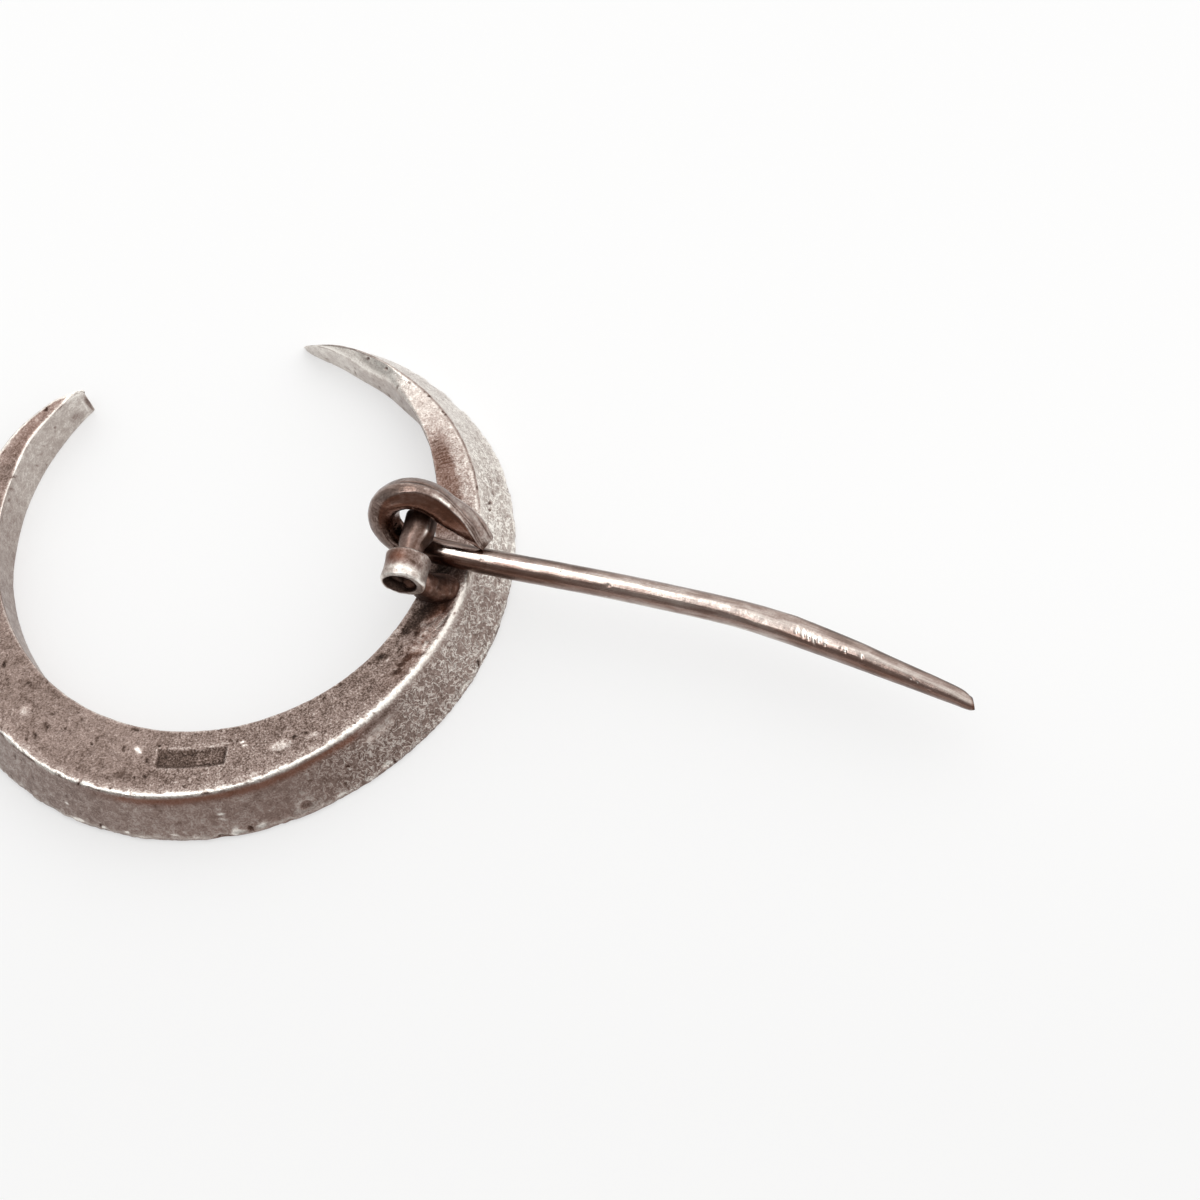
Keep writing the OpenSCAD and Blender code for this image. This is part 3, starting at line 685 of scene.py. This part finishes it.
def pin_path():
    """Even rows like the tail's for the whole wire, and how far along it each is."""
    eye, (turns, *shapes) = [], zip(*EYE_ROWS)
    for turn in np.arange(30, 271, 10):
        shape = [np.interp(turn, turns, column) for column in shapes]
        a = radians(turn)
        up = EYE_R * sin(a)
        eye.append((EYE_R * cos(a), EYE_AT + up * sin(EYE_LEAN), up * cos(EYE_LEAN), *shape, 0))
    stem = [(across, along, STEM_Z, *shape, 0) for across, along, *shape in STEM_ROWS]
    path, run_length = even(smooth_path(TAIL_ROWS + eye + stem, 12), PIN_RINGS)
    path[:CALMED_RINGS] = calmed(path, CALMED_OVER)[:CALMED_RINGS]
    return path, run_length


def dimple(along, around, there, long, wide, slant=0):
    """A dimple in the wire, slanted by mm for each degree round it."""
    gap = (around - there + 180) % 360 - 180
    return np.exp(-((along - slant * gap) / long) ** 2 - (gap / wide) ** 2)


def make_pin():
    """The wire from its flattened end round the eye and along the stem to its worn tip."""
    path, run_length = pin_path()
    centre = hinge_place(path[:, :3])
    side, up = sweep_frames(centre[::-1], (0, 1, 0))
    side, up = side[::-1], up[::-1]
    c, s = np.cos(np.radians(path[:, 6:])), np.sin(np.radians(path[:, 6:]))
    side, up = side * c + up * s, up * c - side * s
    turn = np.arange(PIN_SIDES) * 2 * pi / PIN_SIDES
    x, y = squarish(turn, 2 / (2 + 1.7 * path[:, 5:6]))
    wide, thick = path[:, 3:4] * x, path[:, 4:5] * y
    grid = centre[:, None] + wide[..., None] * side[:, None] + thick[..., None] * up[:, None]
    tail = run_length[:, None] + 0 * wide  # how far from the flattened end, and tip from the other
    tip = run_length[-1] - tail
    grid += np.cross(side, up)[:, None] * (TIP_SLANT * rise(tip, 0.7, 0.05) * wide)[..., None]
    normal = outward_normals(grid, centre[:, None])

    round_eye = 1 - rise(tail, 8.2, 10.2)
    lump, fine = rough(grid, 0.9, 41, 2), rough(grid, 0.22, 43)
    around = np.degrees(turn)[None, :] + 0 * wide
    laid = np.stack([tail, np.radians(around) * WIRE_R, 0 * around], axis=2)
    streak = rough(laid * [0.35, 2.2, 1], 0.5, 44)
    lift = (0.005 + 0.014 * round_eye) * lump + (0.002 + 0.006 * round_eye) * fine + 0.003 * streak
    # The hammer left the eye's last turn with a sharp edge before its front face, and grooves along its top; the front
    # face and the grooves are painted darker as shade.
    edge_at = 152 + 16 * np.maximum(tail - 3.5, 0)
    lift += 0.03 * hump(around, edge_at - 4, 8) * (1 - rise(tail, 4.5, 6))
    groove = sum(hump(around, there + 7 * lump, 4.5) * rise(tail, start, start + 0.25)
        * (1 - rise(tail, stop - 0.8, stop)) for there, start, stop in EYE_GROOVES)
    lift -= 0.035 * groove
    # The inside of the eye faces the rivet, and it is painted darker, partly as tarnish and partly as shade.
    towards = hinge_place((0, EYE_AT, 0)) - grid
    towards /= np.linalg.norm(towards, axis=2, keepdims=True)
    inner = rise(np.einsum("ijk,ijk->ij", normal, towards), -0.05, 0.45) * round_eye
    front = rise(around, edge_at - 4, edge_at + 5) * (1 - rise(tail, 5.6, 6.8))
    tone = wire_tone(tail, tip, around, round_eye, lump, fine, streak, inner, front) - 0.26 * groove

    rng = np.random.default_rng(5)
    for at, size in WIRE_PITS + [(at, rng.uniform(0.03, 0.07)) for at in rng.uniform(2, run_length[-1] - 1, 46)]:
        share = dimple(tail - at, around, rng.uniform(0, 360), 1.2 * size, 100 * size)
        lift -= 0.02 * share
        tone += 0.2 * rng.uniform(-1, 1) * share
    for at, there, size in STEM_NICKS:
        share = dimple(tip - at, around, there, 0.6 * size, 115 * size, 0.005)
        lift -= 0.03 * share
        tone += 0.5 * share
    grid = grid + normal * (lift - 0.006)[..., None]
    # The redness of the eye's inside and front face and of the stem's lower side goes with their painted shade.
    red = 0.02 + 0.08 * round_eye + 0.12 * lump * (1 - round_eye) + 0.25 * inner + 0.65 * front * round_eye
    red += 0.6 * hump(around, 218, 26) * (1 - round_eye)
    return bar("pin_wire", grid, tone, red, laid=laid, grainy=0.6 * round_eye)


def wire_tone(tail, tip, around, round_eye, lump, fine, streak, inner, front):
    """The stem has a painted highlight along its top and a pale painted reflection low on its side, with painted shade
    on its upper edge and lower side; the eye is dull, with a painted glint on its top and painted shade on its front
    face and inside.
    """
    near_eye, near_tip = 1 - rise(tail, 13, 19), rise(tip, 9, 6)
    # Round the stem, the light band near 262 degrees is a painted highlight, the one near 168 degrees a painted
    # reflection of the floor, and the darker bands above and below them are painted shade.
    stem = 0.55 + 0.16 * streak + 0.03 * lump + local(around, [(0.2, 262, 15), (-0.06, 308, 20), (0.02, 214, 24)])
    stem += 0.2 * hump(around, 168, 16) * (1 - near_eye) * (1 - near_tip)
    stem += near_eye * local(around, [(0.16, 262, 10), (-0.3, 205, 36), (-0.24, 302, 22)])
    stem += 0.16 * hump(around, 262, 18) * (1 - rise(tail, 10.5, 12.5))
    stem -= near_tip * (0.05 + local(around, [(0.14, 196, 34), (0.2, 324, 14)]))
    stem -= 0.3 * rise(tip, 0.12, 0.02)
    eye = 0.42 + 0.08 * lump + 0.12 * fine + 0.2 * streak - 0.16 * inner - (0.3 - 0.22 * streak) * front
    painted_glint = np.exp(-((tail - 2.87) / 0.42) ** 4 - ((around - 138) / 10) ** 2) * (0.7 + 0.8 * fine)
    patch = hump(tail, 0.2, 0.13) * hump(around, 112, 15)
    eye += 0.5 * painted_glint - 0.25 * patch + 0.14 * (1 - rise(tail, 1.6, 3.8)) * (1 - front)
    return stem * (1 - round_eye) + eye * round_eye


# Each row is up, across, half across, along and half along, in the hinge's frame or the catch's.
SOLDER_ROWS = [(-0.36, 0.1, 0.3, -0.62, 0.4), (-0.62, 0.22, 0.5, -0.62, 0.48), (-1.0, 0.4, 0.54, -0.6, 0.5),
    (-1.45, 0.56, 0.64, -0.52, 0.54), (-1.8, 0.66, 0.8, -0.42, 0.58), (-2.0, 0.7, 0.92, -0.32, 0.64),
    (-2.1, 0.72, 0.98, -0.24, 0.7), (-2.24, 0.7, 0.96, -0.24, 0.68)]
FOOT_ROWS = [(-0.9, 0, 0.52, 0, 0.5), (-1.15, 0, 0.5, 0, 0.52), (-1.5, 0, 0.56, 0, 0.6), (-1.8, 0, 0.74, 0, 0.7),
    (-1.98, 0, 0.95, 0, 0.86), (-2.1, 0, 0.96, 0, 0.9)]


def lump_grid(rows, steps, sides, power):
    """The rings of a solid lump through its rows."""
    up, across, half_across, along, half_along = smooth_path(rows, steps).T[..., None]
    x, y = squarish(np.linspace(0, 2 * pi, sides, endpoint=False), power)
    return np.stack([across + half_across * x, along + half_along * y, up + 0 * x], axis=2)


def make_solder():
    """The brown lump of solder that holds the barrel, spread where it meets the band."""
    grid = lump_grid(SOLDER_ROWS, 10, 64, 0.8)
    normal = grid - grid.mean(axis=1, keepdims=True)
    normal /= np.maximum(np.linalg.norm(normal, axis=2, keepdims=True), 1e-9)
    lump, fine = rough(grid, 0.55, 51, 2), rough(grid, 0.17, 52)
    grid = grid + normal * (0.07 * lump + 0.02 * fine)[..., None]
    tone = np.minimum(0.16 + 0.18 * lump + 0.24 * fine, 1)
    return bar("solder", hinge_place(grid), tone, 0.4 + 0.3 * lump, laid=grid)


def make_catch():
    """A strip bent to a hook, with a flat lip over its soldered foot."""
    path = np.array(straight((-LIP_L, -HOOK_R), (0, -HOOK_R), 10) + arc_points(0, 0, HOOK_R, -90, 120, 48))
    flat = np.stack([path[:, 0], 0 * path[:, 0], path[:, 1]], axis=1)
    side, up = sweep_frames(flat, (0, 1, 0))
    corners = np.array([(-1, -1), (1, -1), (1, 1), (-1, 1)]) * (HOOK_W / 2, HOOK_T / 2) * HOOK_SHARE
    section = rounded_section(np.repeat(corners[None], len(path), axis=0), np.full((len(path), 4), HOOK_EDGE),
        (6, 14, 4, 14), (4, 4, 4, 4))
    grid = flat[:, None] + section[..., :1] * side[:, None] + section[..., 1:] * up[:, None]
    return catch_piece("catch", grid, 61, 0.52)


def make_catch_foot():
    """The solder under the catch, from the band up to the strip."""
    return catch_piece("catch_solder", lump_grid(FOOT_ROWS, 8, 56, 0.7), 71, 0.42)


def catch_piece(name, grid, seed, tone):
    """Roughens a piece of the catch, made in the catch's own frame, and puts it in its place."""
    normal = outward_normals(grid, grid.mean(axis=1, keepdims=True))
    lump, fine = rough(grid, 0.6, seed, 2), rough(grid, 0.18, seed + 1)
    grid = grid + normal * (0.012 * lump + 0.005 * fine - 0.012)[..., None]
    # The catch's own x runs across the shut pin, and its y along it.
    edge = np.abs(grid[..., 1]) / (HOOK_W / 2)
    tone = np.minimum(tone + 0.1 * lump + 0.08 * fine + 0.3 * rise(edge, 0.88, 1.0), 1)
    return bar(name, turned(grid[..., [1, 0, 2]], CATCH_TURN, CATCH_AT), tone, 0.2 + 0.2 * lump, laid=grid)


def add_node(tree, kind, **inputs):
    """A node with some of its inputs linked or set."""
    node = tree.nodes.new(kind)
    for name, value in inputs.items():
        plug(tree, node.inputs[name.replace("_", " ")], value)
    return node


def plug(tree, socket, value):
    if isinstance(value, bpy.types.NodeSocket):
        tree.links.new(value, socket)
    else:
        socket.default_value = value


def reckon(tree, operation, *values, kind="ShaderNodeMath"):
    """What comes out of a node that reckons with its first inputs."""
    node = tree.nodes.new(kind)
    node.operation = operation
    for socket, value in zip(node.inputs, values):
        plug(tree, socket, value)
    return next(socket for socket in node.outputs if socket.enabled)


def noise_about_zero(tree, where, scale, detail, amount):
    """Noise from minus to plus the amount."""
    cloud = add_node(tree, "ShaderNodeTexNoise", Vector=where, Scale=scale, Detail=detail, Roughness=0.6)
    return reckon(tree, "MULTIPLY", reckon(tree, "SUBTRACT", cloud.outputs["Fac"], 0.5), 2 * amount)


def attribute(tree, name, plug_name="Fac"):
    node = tree.nodes.new("ShaderNodeAttribute")
    node.attribute_name = name
    return node.outputs[plug_name]


def coordinates(tree, kind):
    return tree.nodes.new("ShaderNodeTexCoord").outputs[kind]


# The colours that silver takes as its tarnish is rubbed off, each with the tone where it is reached; the painted light
# and shade in the tone take these colours too.
TARNISH = [(0.0, (0.03, 0.02, 0.016)), (0.25, (0.1, 0.068, 0.055)), (0.5, (0.27, 0.205, 0.18)),
    (0.75, (0.52, 0.46, 0.42)), (1.0, (0.9, 0.86, 0.8))]
RED_TARNISH, MOST_RED = (0.19, 0.075, 0.045, 1), 0.7
# How many lie in a metre, and how the hairs lie along the wire or the band.
PATCHES, GRAINS, PITS, CURLS = 2600, 12500, 4200, 3600
HAIRS, HAIR_STRETCH = 1.4, (0.6, 14, 1)
BUMP_REACH = 0.00006


def aged_silver(name, roughness, mottle, speckle, scratches, bump):
    """Silver under patchy tarnish, by the piece's own tone and redness, with pits, specks and fine scratches."""
    material = bpy.data.materials.new(name)
    material.use_nodes = True
    tree = material.node_tree
    shader = tree.nodes["Principled BSDF"]
    shader.inputs["Metallic"].default_value = 1.0
    where, laid = coordinates(tree, "Object"), attribute(tree, "laid", "Vector")
    stretched = reckon(tree, "MULTIPLY", laid, HAIR_STRETCH, kind="ShaderNodeVectorMath")
    hairs = noise_about_zero(tree, stretched, HAIRS, 3, scratches)
    patches = noise_about_zero(tree, where, PATCHES, 5, mottle)
    grains = noise_about_zero(tree, where, GRAINS, 3, speckle)
    grains = reckon(tree, "MULTIPLY", grains, reckon(tree, "ADD", attribute(tree, "grainy"), 0.55))
    pits = add_node(tree, "ShaderNodeTexVoronoi", Vector=where, Scale=PITS, Randomness=1.0)
    from_pit = reckon(tree, "MINIMUM", reckon(tree, "MULTIPLY", pits.outputs["Distance"], 5.5), 1.0)
    pit = reckon(tree, "SUBTRACT", 1.0, from_pit)

    # The curls of the etched skin lie where the noise passes its middle.
    curls = add_node(tree, "ShaderNodeTexNoise", Vector=where, Scale=CURLS, Detail=2, Roughness=0.55, Distortion=0.8)
    curl = reckon(tree, "ABSOLUTE", reckon(tree, "SUBTRACT", curls.outputs["Fac"], 0.5))
    curl = reckon(tree, "SUBTRACT", 0.62, reckon(tree, "MINIMUM", reckon(tree, "MULTIPLY", curl, 14), 1.0))
    curl = reckon(tree, "MULTIPLY", curl, reckon(tree, "MULTIPLY", attribute(tree, "coarse"), 0.37))

    tone = attribute(tree, "tone")
    for part in (patches, grains, hairs, curl, reckon(tree, "MULTIPLY", pit, -0.3 * speckle)):
        tone = reckon(tree, "ADD", tone, part)
    ramp = add_node(tree, "ShaderNodeValToRGB", Fac=tone)
    stops = ramp.color_ramp.elements
    while len(stops) < len(TARNISH):
        stops.new(0.5)
    for stop, (at, colour) in zip(stops, TARNISH):
        stop.position = at
        stop.color = (*colour, 1)

    # Sockets 0, 6 and 7 and output 2 are for colours.
    mix = tree.nodes.new("ShaderNodeMix")
    mix.data_type = "RGBA"
    plug(tree, mix.inputs[0], reckon(tree, "MULTIPLY", attribute(tree, "red"), MOST_RED))
    plug(tree, mix.inputs[6], ramp.outputs["Color"])
    mix.inputs[7].default_value = RED_TARNISH
    plug(tree, shader.inputs["Base Color"], mix.outputs[2])
    bright, dull = roughness
    plug(tree, shader.inputs["Roughness"],
        add_node(tree, "ShaderNodeMapRange", Value=tone, To_Min=dull, To_Max=bright).outputs[0])

    height = patches
    for part, share in ((grains, 0.6), (hairs, 0.8), (curl, 1), (pit, -0.16 * speckle)):
        height = reckon(tree, "ADD", height, reckon(tree, "MULTIPLY", part, share))
    dent = add_node(tree, "ShaderNodeBump", Height=height, Strength=bump, Distance=BUMP_REACH)
    plug(tree, shader.inputs["Normal"], dent.outputs[0])
    return material


# The pale floor glows, and dims a little towards the front.
FLOOR_SIZE, FLOOR_GREY = 1.6, 0.47
GLOW_FRONT, GLOW_BACK, GLOW_SPAN = 0.455, 0.5, 0.012


def make_floor():
    bpy.ops.mesh.primitive_plane_add(size=FLOOR_SIZE)
    floor = bpy.context.object
    floor.name = "floor"
    material = bpy.data.materials.new("pale_floor")
    material.use_nodes = True
    tree = material.node_tree
    shader = tree.nodes["Principled BSDF"]
    shader.inputs["Base Color"].default_value = (FLOOR_GREY, FLOOR_GREY, FLOOR_GREY, 1)
    shader.inputs["Roughness"].default_value = 0.9
    shader.inputs["Specular IOR Level"].default_value = 0.1
    shader.inputs["Emission Color"].default_value = (1, 1, 1, 1)
    apart = add_node(tree, "ShaderNodeSeparateXYZ", Vector=coordinates(tree, "Object"))
    glow = add_node(tree, "ShaderNodeMapRange", Value=apart.outputs["Y"], From_Min=-GLOW_SPAN, From_Max=GLOW_SPAN,
        To_Min=GLOW_FRONT, To_Max=GLOW_BACK)
    plug(tree, shader.inputs["Emission Strength"], glow.outputs[0])
    floor.data.materials.append(material)


def make_camera():
    data = bpy.data.cameras.new("camera")
    data.lens = CAMERA_LENS
    data.sensor_width = CAMERA_SENSOR
    data.clip_start = 0.001
    camera = new_object("camera", data)
    camera.location = [v * MM for v in CAMERA_AT]
    camera.rotation_euler = [radians(v) for v in CAMERA_TURN]
    bpy.context.scene.camera = camera


# The studio is a light tent, brighter behind and on the right than in front.
BRIGHT_SIDE = (0.49, 0.81, 0.32)
TENT_DIM, TENT_BRIGHT = 0.45, 1.45
TENT_DIM_FROM, TENT_BRIGHT_FROM = -0.5, 0.75  # as cosines of the angle from that side
TENT_COLOUR = (1.0, 0.998, 0.99, 1)
LAMP_AT, LAMP_TURN, LAMP_SIZE, LAMP_POWER = (-0.18, 0.04, 0.5), radians(-14), (0.16, 0.52), 0.8


def make_light():
    world = bpy.data.worlds.new("light_tent")
    bpy.context.scene.world = world
    world.use_nodes = True
    tree = world.node_tree
    facing = reckon(tree, "DOT_PRODUCT", coordinates(tree, "Generated"), BRIGHT_SIDE, kind="ShaderNodeVectorMath")
    level = add_node(tree, "ShaderNodeMapRange", Value=facing, From_Min=TENT_DIM_FROM, From_Max=TENT_BRIGHT_FROM,
        To_Min=TENT_DIM, To_Max=TENT_BRIGHT)
    level.interpolation_type = "SMOOTHSTEP"
    background = tree.nodes["Background"]
    background.inputs["Color"].default_value = TENT_COLOUR
    plug(tree, background.inputs["Strength"], level.outputs[0])

    data = bpy.data.lights.new("lamp", "AREA")
    data.shape = "RECTANGLE"
    data.size, data.size_y = LAMP_SIZE
    data.energy = LAMP_POWER
    lamp = new_object("lamp", data)
    lamp.location = LAMP_AT
    lamp.rotation_euler = (0, 0, LAMP_TURN)
    lamp.visible_diffuse = False
    bpy.context.scene.view_settings.view_transform = "Standard"


make_camera()
make_light()
make_floor()
tarnished = aged_silver("tarnished_silver", (0.28, 0.52), 0.16, 0.5, 0.06, 0.7)
dark_rivet = aged_silver("dark_rivet", (0.3, 0.5), 0.12, 0.28, 0.05, 0.5)
worn_wire = aged_silver("worn_wire", (0.1, 0.25), 0.09, 0.2, 0.2, 0.3)

silver = "brooch", "crescent", "tarnished_silver", tarnished
for piece, (body, node, slot, material) in (
        (make_band(), silver), (make_barrel(), silver), (make_solder(), silver),
        (make_rivet(), ("brooch", "hinge_rivet", "rivet", dark_rivet)),
        (make_pin(), ("pin", "pin", "pin_wire", worn_wire)), (make_catch(), silver), (make_catch_foot(), silver)):
    piece.data.materials.append(material)
    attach(piece, body)
    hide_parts(node)
